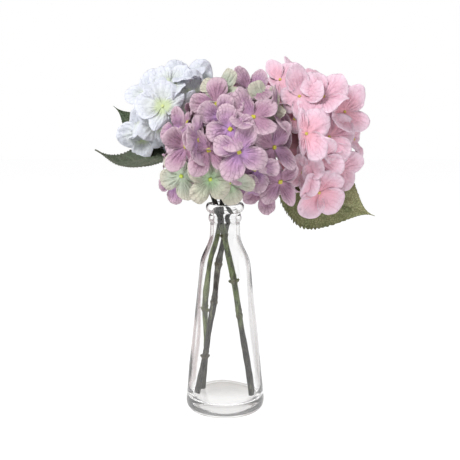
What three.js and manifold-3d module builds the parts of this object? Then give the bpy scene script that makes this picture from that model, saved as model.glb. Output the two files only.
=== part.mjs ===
// Three silk hydrangea heads in a clear glass bottle. Millimetres, +Z up.
// The origin is the centre of the bottle's flat base. The front of the bunch looks along -Y.

import * as THREE from 'three';
import { mergeVertices } from 'three/addons/utils/BufferGeometryUtils.js';
import Module from 'manifold-3d';

const wasm = await Module();
wasm.setup();

// ---------------------------------------------------------------- driving dimensions

const GAP = 0.3;                 // between pieces that touch
const CLOTH = 0.8;               // petals
const LEAF_CLOTH = 0.9;

const BOTTLE_HEIGHT = 212;
const BASE_RADIUS = 31;          // flat part of the base
const HEEL_RADIUS = 40;          // widest, low on the body
const SHOULDER_RADIUS = 26;
const SHOULDER_Z = 150;
const NECK_RADIUS = 15.1;
const NECK_Z = 184;
const BEAD_RADIUS = 16.6;
const BEAD_Z = 194;
const LIP_RADIUS = 19.6;
const LIP_Z = 203;
const WALL = 2.6;
const FLOOR_Z = 14;              // top of the thick glass floor
const ROUND_STEPS = 24;          // facets round the bottle
const PROFILE_STEPS = 3;         // facets along each curve of the profile

const STEM_RADIUS = 2.9;
const STEM_SIDES = 6;
const STEM_STEPS = 16;
const NODE_RADIUS = 3.8;         // knobbly leaf nodes on the stems
const NODE_SPAN = 0.016;         // half a node's length, as a share of the stem
const FRAME_STEPS = 240;         // directions worked out along a stem's curve
const FOOT_TILT = 0.6;           // a leaning stem's foot stands on its lower rim

const LEAF_ROWS = 20;
const TOOTH = 0.07;              // a tooth's depth, as a share of the leaf's half width
const LEAF_STALK_RADIUS = 1.3;
const LEAF_CLEARANCE = 0.8;      // kept free of petals on each face of a leaf
const STALK_CLEARANCE = 0.6;     // kept free of petals round a leaf's stalk

const PETALS = 4;
const PETAL_RIM = [[-33, 0.87], [0, 1.02], [33, 0.87]];  // [degrees off its middle, share of reach]
const HEART = 0.5;               // a petal's inner point, as a share of its reach
const CLEFT = 0.5;               // the cleft between two petals, as a share of their reach
const PETAL_POINTS = PETAL_RIM.length + 2;
const STALK_RADIUS = 1.2;        // the little stalk behind each floret
const ROOT_DEPTH = 4;            // how deep a stalk sits in its head's core
const PEG_RADIUS = 2.6;
const PEG_HEIGHT = 1.5;          // how far the yellow peg stands out of its floret
const WOBBLE = 0.6;              // how far a filling floret's facing strays from its place's
const LISTED_WOBBLE = 0.2;       // how far a listed floret's facing strays
const TILT = 0.36;               // how far one petal tips against the next
const PETAL_STRAY = [0.9, 0.16]; // a petal's shortest length, and how much longer it may be

const NECK_LENGTH = 9;           // from a head's core down to its stem
const NECK_RADII = [5, 3.4];     // at the core and at the stem
const NECK_ANGLE = 0.72;         // kept free of filling florets round a head's stem, in radians
const KEEP_OFF = 13;             // from a filling floret's centre to a stem or leaf
const SPIRAL = 160;              // places tried for the florets that fill a head
const GOLDEN_ANGLE = 2.399963;
const SQUASH_DEPTH = 14;         // how far from a pressed plane the petals start to bend
const PLANE_MARGIN = [1.2, 4];   // a floret's least distance from a pressed plane, and its stray
const FILL_MARGIN = 4;           // from a filling floret's centre to a pressed plane

// ---------------------------------------------------------------- the three flowers

// A floret in a list is [right, up, turn, reach, cup, lift, facing]: its place on the head's front
// as seen from the front, the angle of its first petal in degrees, the length of a petal, how deep
// it cups, how far it stands out of the head, and the way that it faces, [right, back, up].
const MAUVE = {
  name: 'head_mauve',
  centre: [1, -20, 272],
  radius: 57,
  core: 26,
  seed: 1207,
  spacing: 38,
  listed: [
    [11, -6, 68, 26, 0.1, 6, [0, -1, 0]],
    [-15, -5, 56, 25, 0.15, 1, [0, -1, 0]],
    [4, 13, 14, 23, 0.25, 2, [0, -0.95, 0.25]],
    [23, 22, 42, 26, 0.5, 5, [0, -0.75, 0.6]],
    [-23, 4, 85, 25, 0.25, 5, [0.9, -0.45, 0.1]],
    [-8, 35, 88, 26, 0.25, 1, [-0.1, -0.9, 0.35]],
    [42, -3, 55, 28, 0.3, 3, [0.5, -0.8, 0.1]],
    [46, 26, 55, 28, 0.35, 6, [0.6, -0.65, 0.4]],
    [42, -29, 45, 25, 0.3, 12, [0.2, -0.9, -0.2]],
    [27, -23, 15, 23, 0.3, -1, [0.1, -0.9, -0.3]],
    [36, -42, 10, 25, 0.3, 4, [0.3, -0.8, -0.5]],
    [24, 50, 45, 24, 0.5, 1, [0.1, -0.75, 0.6]],
    [-53, -43, 80, 22, 0.3, 8, [-0.4, -0.85, -0.3]],
    [23, -42, 20, 23, 0.3, 0, [0, -0.5, -0.85]],
    [-44, 10, 85, 23, 0.3, 1, [-0.45, -0.8, 0.2]],
    [-34, -2, 55, 24, 0.4, 3, [-0.3, -0.9, 0]],
    [-56, -9, 60, 22, 0.35, 0, [-0.9, -0.35, 0.05]],
    [-52, -23, 80, 21, 0.35, 0, [-0.9, -0.3, -0.3]],
    [-4, 24, 72, 23, 0.25, -1, [-0.05, -1, 0.2]],
    [-40, -29, 15, 25, 0.2, 2, [-0.35, -0.9, -0.1]],
    [-13, -29, 52, 25, 0.15, 5, [0.3, -0.95, -0.1]],
    [3, -37, 12, 25, 0.2, -2, [0, -0.9, -0.35]],
    [-4, 49, 60, 22, 0.4, -1, [0, -0.75, 0.6]],
    [38, 37, 35, 25, 0.4, 0, [0.1, -0.8, 0.5]],
    [53, 4, 10, 24, 0.2, 0, [0.3, -0.95, 0]],
  ],
};

const PINK = {
  name: 'head_pink',
  centre: [72, 20, 281],
  radius: 58,
  core: 26,
  seed: 733,
  spacing: 37,
  listed: [
    [2, 0, 38, 28, 0.25, 8, [0.35, -0.9, 0]],
    [20, 32, 40, 29, 0.4, 5, [0.1, -0.75, 0.65]],
    [-1, 35, 15, 27, 0.4, 0, [-0.1, -0.85, 0.4]],
    [-18, 50, 45, 26, 0.35, 2, [-0.15, -0.7, 0.65]],
    [9, 57, 70, 26, 0.5, 1, [0.1, -0.4, 0.9]],
    [27, -3, 30, 30, 0.25, 0, [0.35, -0.9, 0]],
    [42, 20, 50, 27, 0.4, 2, [0.45, -0.75, 0.4]],
    [57, -6, 40, 24, 0.4, 0, [0.95, -0.25, 0.1]],
    [41, -34, 30, 25, 0.3, 2, [0.4, -0.85, -0.2]],
    [16, -46, 57, 29, 0.25, 14, [0.1, -0.9, -0.3]],
    [17, -24, 70, 26, 0.3, 1, [0, -0.9, -0.3]],
    [3, -37, 30, 24, 0.3, 0, [-0.2, -0.85, -0.4]],
    [34, -45, 20, 24, 0.3, 2, [0.4, -0.7, -0.5]],
  ],
};

const WHITE = {
  name: 'head_white',
  centre: [-50, 22, 300],
  radius: 36,
  core: 18,
  seed: 419,
  spacing: 34,
  listed: [
    [-8, 6, 88, 28, 0.2, 7, [0, -0.9, 0.4]],
    [-23, 19, 5, 27, 0.3, 2, [-0.35, -0.75, 0.5]],
    [-30, -19, 0, 27, 0.4, 4, [-0.4, -0.9, -0.1]],
    [-26, -27, 40, 25, 0.3, 3, [-0.1, -0.45, -0.9]],
    [11, -2, 50, 26, 0.25, 1, [0.15, -1, 0]],
    [20, 17, 95, 27, 0.35, 2, [0.3, -0.85, 0.4]],
    [5, 34, 30, 26, 0.5, 3, [0, -0.55, 0.85]],
    [21, 29, 60, 28, 0.75, 4, [0.2, -0.5, 0.85]],
    [-35, -3, 20, 23, 0.3, 1, [-0.85, -0.45, 0.2]],
    [-15, -8, 40, 25, 0.25, -1, [-0.1, -0.95, -0.2]],
    [-5, 27, 45, 26, 0.3, 2, [-0.1, -0.7, 0.7]],
  ],
};

// Neighbouring heads press flat against each other on these planes: a point, and the way from the
// first head to the second.
const PRESSED = [
  { heads: [MAUVE, PINK], point: [41, 0, 276], way: [0.87, 0.48, 0.1] },
  { heads: [MAUVE, WHITE], point: [-31, 3, 287], way: [-0.73, 0.55, 0.4] },
];

// Each stem's route, from its foot on the bottle's floor to just under its head.
const STEMS = [
  {
    name: 'stem_white',
    head: WHITE,
    route: [[27.4, -10.3, 0], [24.5, -10, 36], [18.5, -9, 76], [15, -8.5, 98], [9, -8, 132], [3.5, -7, 158],
      [0, -6.8, 176], [-3.5, -6.4, 194], [-9.5, -5, 212], [-20, 5, 240]],
    nodes: [0.31, 0.44, 0.61],
  },
  {
    name: 'stem_mauve',
    head: MAUVE,
    route: [[-24, 16.5, 0], [-22.5, 14, 50], [-21, 10, 90], [-19, 7, 118], [-15, 4, 148], [-8.4, 1.5, 176],
      [-5, 1.2, 194], [-3, 1, 212], [-3, -2, 228]],
    nodes: [0.38, 0.9],
  },
  {
    name: 'stem_pink',
    head: PINK,
    route: [[-29.2, -3, 0], [-24, -5, 40], [-17.3, -5, 78], [-11.5, -2, 110], [-7.2, 3, 140], [-3.6, 7, 162],
      [1, 8, 186], [5.6, 7.4, 206], [14, 6, 222], [29, 10, 240]],
    nodes: [0.16, 0.375, 0.52],
  },
];

// Leaves: a midrib from base to tip, the way that its left edge lies, its widest half, how far it
// folds up along the midrib, and the stem's side where its own stalk starts.
const LEAVES = [
  {
    name: 'leaf_left',
    stalk: [-31, 11, 262],
    midrib: [[-46, 14, 260], [-75, 8, 256], [-106, 3, 253], [-129, 0, 265]],
    side: [0, -0.93, -0.3],
    half: 30,
    fold: 0.15,
  },
  {
    name: 'leaf_left_back',
    stalk: [-33, 13, 266],
    midrib: [[-58, 50, 264], [-80, 58, 278], [-100, 60, 294], [-118, 58, 309]],
    side: [-0.72, 0, -0.69],
    half: 19,
    fold: 0.2,
  },
  {
    name: 'leaf_right',
    stalk: [33, 11, 243],
    midrib: [[60, 15, 243], [88, 11, 228], [120, 4, 210], [150, -2, 199]],
    side: [0.42, -0.2, 0.88],
    half: 41,
    fold: 0.12,
  },
];

// ---------------------------------------------------------------- small tools

const v3 = (list) => new THREE.Vector3(list[0], list[1], list[2]);

// A repeatable stream of numbers from 0 to 1.
function stream(seed) {
  let state = seed;
  return () => {
    state = (state * 16807) % 2147483647;
    return state / 2147483647;
  };
}

// A closed three.js geometry as a solid, with its doubled points merged and its empty faces dropped.
function toSolid(geometry) {
  const bare = geometry.clone();
  bare.deleteAttribute('normal');
  bare.deleteAttribute('uv');
  const merged = mergeVertices(bare, 1e-4);
  const corners = [];
  const index = merged.index.array;
  for (let i = 0; i < index.length; i += 3) {
    const [a, b, c] = [index[i], index[i + 1], index[i + 2]];
    if (a !== b && b !== c && c !== a) corners.push(a, b, c);
  }
  const points = new Float32Array(merged.attributes.position.array);
  const mesh = new wasm.Mesh({ numProp: 3, vertProperties: points, triVerts: new Uint32Array(corners) });
  return new wasm.Manifold(mesh);
}

function toGeometry(solid) {
  const mesh = solid.getMesh();
  const geometry = new THREE.BufferGeometry();
  geometry.setAttribute('position', new THREE.BufferAttribute(mesh.vertProperties, 3));
  geometry.setIndex(new THREE.BufferAttribute(mesh.triVerts, 1));
  geometry.computeVertexNormals();
  return geometry;
}

// The largest of a solid's loose pieces.
function largestPiece(solid) {
  const pieces = solid.decompose();
  return pieces.reduce((best, piece) => (piece.volume() > best.volume() ? piece : best));
}

function joined(solids) {
  return solids.reduce((whole, solid) => whole.add(solid));
}

function indexed(points, triangles) {
  const geometry = new THREE.BufferGeometry();
  const numbers = points.flatMap((point) => point.toArray());
  geometry.setAttribute('position', new THREE.Float32BufferAttribute(numbers, 3));
  geometry.setIndex(triangles.flat());
  return geometry;
}

// The edges that only one triangle has, in that triangle's order.
function openEdges(triangles) {
  const edges = triangles.flatMap(([a, b, c]) => [[a, b], [b, c], [c, a]]);
  const known = new Set(edges.map(([from, to]) => `${from},${to}`));
  return edges.filter(([from, to]) => !known.has(`${to},${from}`));
}

// A sheet of triangles given two faces, split alike, and a wall along its outer edge. Points from
// the one numbered hole on lie round a hole in the sheet, which stays open.
function bothFaces(points, sheet, thickness, hole = points.length) {
  const geometry = indexed(points, sheet);
  geometry.computeVertexNormals();
  const count = points.length;
  const corners = [];
  for (const side of [0.5, -0.5]) {
    points.forEach((point, i) => {
      const offset = new THREE.Vector3().fromBufferAttribute(geometry.attributes.normal, i);
      corners.push(point.clone().addScaledVector(offset, side * thickness));
    });
  }
  const triangles = sheet.flatMap(([a, b, c]) => [[a, b, c], [count + a, count + c, count + b]]);
  for (const [from, to] of openEdges(sheet)) {
    if (from >= hole && to >= hole) continue;
    triangles.push([count + from, count + to, to], [count + from, to, from]);
  }
  return { corners, triangles, count };
}

// A round tube along a smooth route.
function tube(route, radius, sides, steps) {
  const section = new THREE.Shape();
  for (let i = 0; i < sides; i += 1) {
    const angle = (2 * Math.PI * i) / sides;
    const [x, y] = [radius * Math.cos(angle), radius * Math.sin(angle)];
    if (i === 0) section.moveTo(x, y);
    else section.lineTo(x, y);
  }
  section.closePath();
  const path = new THREE.CatmullRomCurve3(route);
  return new THREE.ExtrudeGeometry(section, { steps, extrudePath: path, bevelEnabled: false });
}

// A straight rod or cone from one point to another.
function rod(from, to, radiusFrom, radiusTo, sides) {
  const way = new THREE.Vector3().subVectors(to, from);
  const geometry = new THREE.CylinderGeometry(radiusTo, radiusFrom, way.length(), sides);
  const turn = new THREE.Quaternion().setFromUnitVectors(new THREE.Vector3(0, 1, 0), way.clone().normalize());
  geometry.applyQuaternion(turn);
  geometry.translate(...from.clone().add(to).multiplyScalar(0.5).toArray());
  return geometry;
}

// ---------------------------------------------------------------- the bottle

function bottleOutside(path) {
  path.lineTo(BASE_RADIUS, 0);
  path.quadraticCurveTo(HEEL_RADIUS - 0.5, 0.8, HEEL_RADIUS, 11);
  path.quadraticCurveTo(HEEL_RADIUS - 1.4, 24, HEEL_RADIUS - 3.1, 40);
  path.lineTo(SHOULDER_RADIUS, SHOULDER_Z);
  path.bezierCurveTo(SHOULDER_RADIUS - 1.6, SHOULDER_Z + 13, NECK_RADIUS, NECK_Z - 15, NECK_RADIUS, NECK_Z);
  path.lineTo(NECK_RADIUS, BEAD_Z - 1);
  path.quadraticCurveTo(BEAD_RADIUS + 0.4, BEAD_Z + 0.5, BEAD_RADIUS, BEAD_Z + 4);
  path.lineTo(NECK_RADIUS + 0.6, LIP_Z - 0.5);
  path.bezierCurveTo(LIP_RADIUS - 0.5, LIP_Z, LIP_RADIUS + 1, BOTTLE_HEIGHT - 3,
    LIP_RADIUS - 2, BOTTLE_HEIGHT);
}

function bottleInside(path) {
  const neck = NECK_RADIUS - WALL;
  const shoulder = SHOULDER_RADIUS - WALL;
  path.quadraticCurveTo(neck + 0.6, BOTTLE_HEIGHT - 0.3, neck, LIP_Z);
  path.lineTo(neck, NECK_Z);
  path.bezierCurveTo(neck, NECK_Z - 15, shoulder - 1.6, SHOULDER_Z + 13, shoulder, SHOULDER_Z);
  path.lineTo(HEEL_RADIUS - 1.8 - WALL, FLOOR_Z + 10);
  path.quadraticCurveTo(HEEL_RADIUS - 2.1 - WALL, FLOOR_Z, HEEL_RADIUS - 7.5, FLOOR_Z);
  path.lineTo(0, FLOOR_Z);
}

function bottleSolid() {
  const path = new THREE.Path();
  path.moveTo(0, 0);
  bottleOutside(path);
  bottleInside(path);
  const geometry = new THREE.LatheGeometry(path.getPoints(PROFILE_STEPS), ROUND_STEPS);
  geometry.rotateX(Math.PI / 2);
  return toSolid(geometry);
}

// Room that no petal enters, round the lip.
function mouthRoom() {
  const below = new THREE.Vector3(0, 0, NECK_Z);
  const above = new THREE.Vector3(0, 0, BOTTLE_HEIGHT + 5 * GAP);
  const radius = LIP_RADIUS + 2;
  return toSolid(rod(below, above, radius, radius, ROUND_STEPS));
}

// ---------------------------------------------------------------- stems

// The way from a head's centre down its neck, in line with the end of its stem.
function neckWay(head) {
  const stem = STEMS.find((one) => one.head === head);
  return v3(stem.route.at(-1)).sub(v3(head.centre)).normalize();
}

function stemRoute(stem) {
  const route = stem.route.map(v3);
  route[0].z = FLOOR_Z + GAP + FOOT_TILT;
  const reach = stem.head.core + NECK_LENGTH + GAP;
  route.push(v3(stem.head.centre).addScaledVector(neckWay(stem.head), reach));
  return route;
}

// The stem's radius a share of the way up: slim, with a swelling at each node and a thicker foot.
function stemStations(stem) {
  const plain = Array.from({ length: STEM_STEPS + 1 }, (_, i) => [i / STEM_STEPS, STEM_RADIUS]);
  const away = ([t]) => stem.nodes.every((node) => Math.abs(t - node) > 1.5 * NODE_SPAN);
  const swellings = stem.nodes.flatMap((node) => [
    [node - NODE_SPAN, STEM_RADIUS + 0.1],
    [node - 0.2 * NODE_SPAN, NODE_RADIUS],
    [node + 0.2 * NODE_SPAN, NODE_RADIUS - 0.3],
    [node + NODE_SPAN, STEM_RADIUS],
  ]);
  return [...plain.filter(away), ...swellings].sort((a, b) => a[0] - b[0]);
}

// A closed rod through rings of points, each ring at its own share of the curve and radius.
function loft(curve, stations, sides) {
  const frames = curve.computeFrenetFrames(FRAME_STEPS, false);
  const points = [];
  const triangles = [];
  stations.forEach(([t, radius], row) => {
    const frame = Math.round(t * FRAME_STEPS);
    for (let side = 0; side < sides; side += 1) {
      const angle = (2 * Math.PI * side) / sides;
      const point = curve.getPointAt(t);
      point.addScaledVector(frames.normals[frame], radius * Math.cos(angle));
      point.addScaledVector(frames.binormals[frame], radius * Math.sin(angle));
      points.push(point);
      if (row === 0) continue;
      const [a, b] = [row * sides + side, row * sides + ((side + 1) % sides)];
      triangles.push([a, a - sides, b - sides], [a, b - sides, b]);
    }
  });
  const last = points.length - sides;
  for (let side = 1; side < sides - 1; side += 1) {
    triangles.push([0, side + 1, side], [last, last + side, last + side + 1]);
  }
  return toSolid(indexed(points, triangles));
}

function stemSolid(stem) {
  return loft(new THREE.CatmullRomCurve3(stemRoute(stem)), stemStations(stem), STEM_SIDES);
}

// ---------------------------------------------------------------- leaves

// A share of the leaf's widest half, from its base at 0 to its tip at 1: ovate, drawn out to a point.
function leafWidth(t) {
  return Math.sin(Math.PI * t ** 0.72) ** (0.55 + 1.6 * t);
}

function leafPoint(leaf, curve, t, across, margin) {
  const side = v3(leaf.side).normalize();
  const face = new THREE.Vector3().crossVectors(curve.getTangent(t), side).normalize();
  const reach = (leaf.half + margin) * leafWidth(t);
  const point = curve.getPoint(t);
  point.addScaledVector(side, reach * across);
  point.addScaledVector(face, leaf.fold * reach * Math.abs(across));
  return point;
}

// A leaf's cloth: rows of three points, its saw-toothed edges and its midrib, then its two ends.
function leafSheet(leaf, margin) {
  const curve = new THREE.CatmullRomCurve3(leaf.midrib.map(v3));
  const points = [];
  const triangles = [];
  for (let row = 1; row < LEAF_ROWS; row += 1) {
    const tooth = row % 2 ? 1 + TOOTH : 1 - TOOTH;
    for (const across of [-tooth, 0, tooth]) {
      points.push(leafPoint(leaf, curve, row / LEAF_ROWS, across, margin));
    }
  }
  points.push(curve.getPoint(0.01), curve.getPoint(1));
  const [base, tip] = [points.length - 2, points.length - 1];
  for (const column of [0, 1]) {
    const last = 3 * (LEAF_ROWS - 2) + column;
    triangles.push([base, column, column + 1], [tip, last + 1, last]);
    for (let row = 0; row < LEAF_ROWS - 2; row += 1) {
      const a = row * 3 + column;
      triangles.push([a, a + 3, a + 1], [a + 1, a + 3, a + 4]);
    }
  }
  return { points, triangles };
}

function leafBlade(leaf, thickness, margin) {
  const { points, triangles: sheet } = leafSheet(leaf, margin);
  const { corners, triangles } = bothFaces(points, sheet, thickness);
  return toSolid(indexed(corners, triangles));
}

function leafStalk(leaf, radius) {
  const base = v3(leaf.midrib[0]);
  const inside = v3(leaf.midrib[0]).lerp(v3(leaf.midrib[1]), 0.12);
  return toSolid(tube([v3(leaf.stalk), base, inside], radius, 6, 4));
}

function leafSolid(leaf, stemRoom) {
  const whole = leafBlade(leaf, LEAF_CLOTH, 0).add(leafStalk(leaf, LEAF_STALK_RADIUS));
  return largestPiece(whole.subtract(stemRoom));
}

// Room that a leaf keeps for itself among the petals.
function leafRoom(leaf) {
  const blade = leafBlade(leaf, LEAF_CLOTH + 2 * LEAF_CLEARANCE, 1);
  return blade.add(leafStalk(leaf, LEAF_STALK_RADIUS + STALK_CLEARANCE));
}

// ---------------------------------------------------------------- florets

// How high a floret's cloth stands over its centre. share runs from 0 at the centre to 1 at a tip.
function clothHeight(floret, petal, share, middle) {
  const lift = floret.cup * share ** 1.5 * (0.35 + 0.65 * middle);
  const tilt = floret.tilts[petal] * share * middle;
  const roll = 0.12 * share ** 4;
  return floret.reach * (lift + tilt - roll);
}

function clothPoint(floret, petal, degrees, share) {
  const angle = THREE.MathUtils.degToRad(floret.turn + 90 * petal + degrees);
  const middle = Math.cos(THREE.MathUtils.degToRad(2 * degrees)) ** 2;
  const flat = floret.reach * share * floret.lengths[petal] ** middle;
  const height = clothHeight(floret, petal, share, middle);
  const keep = flat / Math.hypot(flat, height);
  const point = floret.centre.clone();
  point.addScaledVector(floret.right, flat * keep * Math.cos(angle));
  point.addScaledVector(floret.up, flat * keep * Math.sin(angle));
  point.addScaledVector(floret.facing, height * keep);
  return pressed(floret, point);
}

// Bends a point back where it comes near a neighbouring head.
function pressed(floret, point) {
  for (const { point: origin, way, edge } of floret.planes) {
    const depth = way.dot(new THREE.Vector3().subVectors(point, origin));
    const start = edge - SQUASH_DEPTH;
    if (depth <= start) continue;
    const bent = start + SQUASH_DEPTH * (1 - Math.exp(-(depth - start) / SQUASH_DEPTH));
    point.addScaledVector(way, bent - depth);
  }
  return point;
}

// A floret's edge and middle points, petal by petal: heart, cleft, then three round the petal's end.
function floretPoints(floret) {
  const points = [];
  for (let petal = 0; petal < PETALS; petal += 1) {
    points.push(clothPoint(floret, petal, 0, HEART));
    points.push(clothPoint(floret, petal, 45, CLEFT));
    PETAL_RIM.forEach(([degrees, share]) => points.push(clothPoint(floret, petal, degrees, share)));
  }
  return points;
}

// The triangles of a floret's cloth, with a square hole in its middle: the same on both faces.
function floretTriangles(square) {
  const triangles = [];
  for (let petal = 0; petal < PETALS; petal += 1) {
    const own = PETAL_POINTS * petal;
    const before = PETAL_POINTS * ((petal + PETALS - 1) % PETALS);
    const [heart, cleft, first, tip, last] = [0, 1, 2, 3, 4].map((step) => own + step);
    const corner = square + petal;
    const next = square + ((petal + 1) % PETALS);
    triangles.push([corner, before + 1, heart], [corner, heart, cleft], [corner, cleft, next]);
    triangles.push([before + 1, first, heart], [heart, last, cleft]);
    triangles.push([heart, first, tip], [heart, tip, last]);
  }
  return triangles;
}

// Four points round a middle point: the section of a floret's stalk or peg.
function squareRound(floret, middle, radius) {
  return Array.from({ length: PETALS }, (_, petal) => {
    const angle = THREE.MathUtils.degToRad(floret.turn + 90 * petal);
    const point = middle.clone();
    point.addScaledVector(floret.right, radius * Math.cos(angle));
    return point.addScaledVector(floret.up, radius * Math.sin(angle));
  });
}

// ---------------------------------------------------------------- heads

// Fixes a floret's facing, its own axes and its small differences from its neighbours.
function makeFloret(head, way, details, random, planes) {
  const draws = Array.from({ length: 12 }, random);
  const [turn, reach, cup, lift, aim] = details;
  const stray = aim ? LISTED_WOBBLE : WOBBLE;
  const wobble = new THREE.Vector3(draws[0] - 0.5, draws[1] - 0.5, draws[2] - 0.5).multiplyScalar(stray);
  const facing = (aim ? v3(aim).normalize() : way.clone()).add(wobble).normalize();
  const over = Math.abs(facing.z) > 0.9 ? new THREE.Vector3(0, 1, 0) : new THREE.Vector3(0, 0, 1);
  const right = new THREE.Vector3().crossVectors(over, facing).normalize();
  const up = new THREE.Vector3().crossVectors(facing, right).normalize();
  const margin = PLANE_MARGIN[0] + PLANE_MARGIN[1] * draws[3];
  return {
    centre: v3(head.centre).addScaledVector(way, head.radius + lift),
    facing,
    right,
    up,
    turn,
    reach,
    cup,
    tilts: draws.slice(4, 8).map((draw) => TILT * (draw - 0.5)),
    lengths: draws.slice(8, 12).map((draw) => PETAL_STRAY[0] + PETAL_STRAY[1] * draw),
    planes: planes.map((plane) => ({ ...plane, edge: -margin })),
  };
}

// A listed floret's direction from the head's centre, worked out from its place on the front.
function listedWay(head, right, up) {
  const across = Math.min(Math.hypot(right, up) / head.radius, 1);
  const scale = across < 1 ? 1 : head.radius / Math.hypot(right, up);
  return new THREE.Vector3(
    (right * scale) / head.radius,
    -Math.sqrt(1 - across * across),
    (up * scale) / head.radius,
  ).normalize();
}

// The directions tried for the florets that fill a head, from its top down in a spiral.
function spiralWay(i) {
  const height = 1 - (2 * i + 1) / SPIRAL;
  const round = Math.sqrt(1 - height * height);
  return new THREE.Vector3(round * Math.cos(GOLDEN_ANGLE * i), round * Math.sin(GOLDEN_ANGLE * i), height);
}

function headPlanes(head) {
  return PRESSED.filter(({ heads }) => heads.includes(head)).map(({ heads, point, way }) => ({
    point: v3(point),
    way: v3(way).normalize().multiplyScalar(heads[0] === head ? 1 : -1),
  }));
}

// Whether a filling floret may sit here: inside the pressed planes and off the stems and leaves.
function isFree(head, spot, way, taken, planes, keepOff) {
  if (way.angleTo(neckWay(head)) < NECK_ANGLE) return false;
  const past = planes.some((plane) => plane.way.dot(spot.clone().sub(plane.point)) > -FILL_MARGIN);
  if (past) return false;
  if (taken.some((floret) => floret.centre.distanceTo(spot) < head.spacing)) return false;
  return keepOff.every((point) => point.distanceTo(spot) > KEEP_OFF);
}

function headFlorets(head, keepOff) {
  const random = stream(head.seed);
  const planes = headPlanes(head);
  const florets = head.listed.map(([right, up, ...details]) => (
    makeFloret(head, listedWay(head, right, up), details, random, planes)
  ));
  for (let i = 0; i < SPIRAL; i += 1) {
    const way = spiralWay(i);
    const spot = v3(head.centre).addScaledVector(way, head.radius);
    if (!isFree(head, spot, way, florets, planes, keepOff)) continue;
    const details = [90 * random(), 21 + 4 * random(), 0.15 + 0.35 * random(), 4 * random() - 2];
    florets.push(makeFloret(head, way, details, random, planes));
  }
  return florets;
}

// One floret: its cloth, the square peg over its middle and the stalk that roots it in the core.
function floretSolid(head, floret) {
  const heart = pressed(floret, floret.centre.clone());
  const outer = floretPoints(floret);
  const root = v3(head.centre).lerp(heart, (head.core - ROOT_DEPTH) / head.radius);
  const peg = heart.clone().addScaledVector(floret.facing, PEG_HEIGHT);
  const square = outer.length;
  const sheet = floretTriangles(square);
  const faces = [...outer, ...squareRound(floret, heart, PEG_RADIUS)];
  const { corners, triangles, count } = bothFaces(faces, sheet, CLOTH, square);
  corners.push(...squareRound(floret, peg, PEG_RADIUS), ...squareRound(floret, root, STALK_RADIUS));
  triangles.push(...prism(square, 2 * count), ...prism(count + square, 2 * count + 4, true));
  return toSolid(indexed(corners, triangles));
}

// The four sides and the end of a square rod between two rings of points.
function prism(ring, end, inward = false) {
  const triangles = [[end, end + 1, end + 2], [end, end + 2, end + 3]];
  for (let side = 0; side < PETALS; side += 1) {
    const next = (side + 1) % PETALS;
    triangles.push([ring + side, ring + next, end + next], [ring + side, end + next, end + side]);
  }
  return inward ? triangles.map(([a, b, c]) => [a, c, b]) : triangles;
}

function coreSolid(head) {
  const ball = new THREE.IcosahedronGeometry(head.core, 1);
  ball.translate(...head.centre);
  const centre = v3(head.centre);
  const end = centre.clone().addScaledVector(neckWay(head), head.core + NECK_LENGTH);
  return toSolid(ball).add(toSolid(rod(centre, end, ...NECK_RADII, STEM_SIDES)));
}

function headSolid(head, room, keepOff) {
  const florets = headFlorets(head, keepOff);
  const whole = joined([coreSolid(head), ...florets.map((floret) => floretSolid(head, floret))]);
  return largestPiece(whole.subtract(room));
}

// ---------------------------------------------------------------- the whole

const group = new THREE.Group();

function show(name, solid, color, roughness, extra = {}) {
  const material = new THREE.MeshStandardMaterial({ color, roughness, metalness: 0, ...extra });
  const mesh = new THREE.Mesh(toGeometry(solid), material);
  mesh.name = name;
  group.add(mesh);
}

show('glass_bottle', bottleSolid(), '#eef2f3', 0.05, { transparent: true, opacity: 0.3 });

const STEM_COLOURS = { stem_white: '#7d8f5e', stem_mauve: '#7f9160', stem_pink: '#77766c' };
for (const stem of STEMS) {
  show(stem.name, stemSolid(stem), STEM_COLOURS[stem.name], 0.6);
}

// Room that the stems keep for themselves: close for a leaf's stalk, wider for petals.
function stemRooms(radius) {
  const stations = Array.from({ length: STEM_STEPS * 2 + 1 }, (_, i) => [i / (STEM_STEPS * 2), radius]);
  return joined(STEMS.map((stem) => (
    loft(new THREE.CatmullRomCurve3(stemRoute(stem)), stations, STEM_SIDES + 2)
  )));
}

const closeRoom = stemRooms(STEM_RADIUS + 1.5 * GAP);
const wideRoom = stemRooms(NODE_RADIUS + 2 * GAP);
const LEAF_COLOURS = { leaf_left: '#7d8773', leaf_left_back: '#6f7d62', leaf_right: '#969b73' };
for (const leaf of LEAVES) {
  show(leaf.name, leafSolid(leaf, closeRoom), LEAF_COLOURS[leaf.name], 0.7);
}

const keepOff = [
  ...STEMS.flatMap((stem) => new THREE.CatmullRomCurve3(stemRoute(stem)).getSpacedPoints(60)),
  ...LEAVES.flatMap((leaf) => leafSheet(leaf, 0).points),
];
const room = joined([mouthRoom(), wideRoom, ...LEAVES.map(leafRoom)]);
const HEAD_COLOURS = { head_white: '#dee2f2', head_mauve: '#be9bb9', head_pink: '#eccbdd' };
for (const head of [WHITE, MAUVE, PINK]) {
  show(head.name, headSolid(head, room, keepOff), HEAD_COLOURS[head.name], 0.8);
}

export default group;
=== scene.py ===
"""The looks of three silk hydrangeas in a clear glass bottle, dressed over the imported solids.

Shapes are worked out in millimetres and set down in metres, in the part's own frame:
+Z up, the front of the bunch along -Y, the origin under the middle of the bottle.
"""

import math

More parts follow.
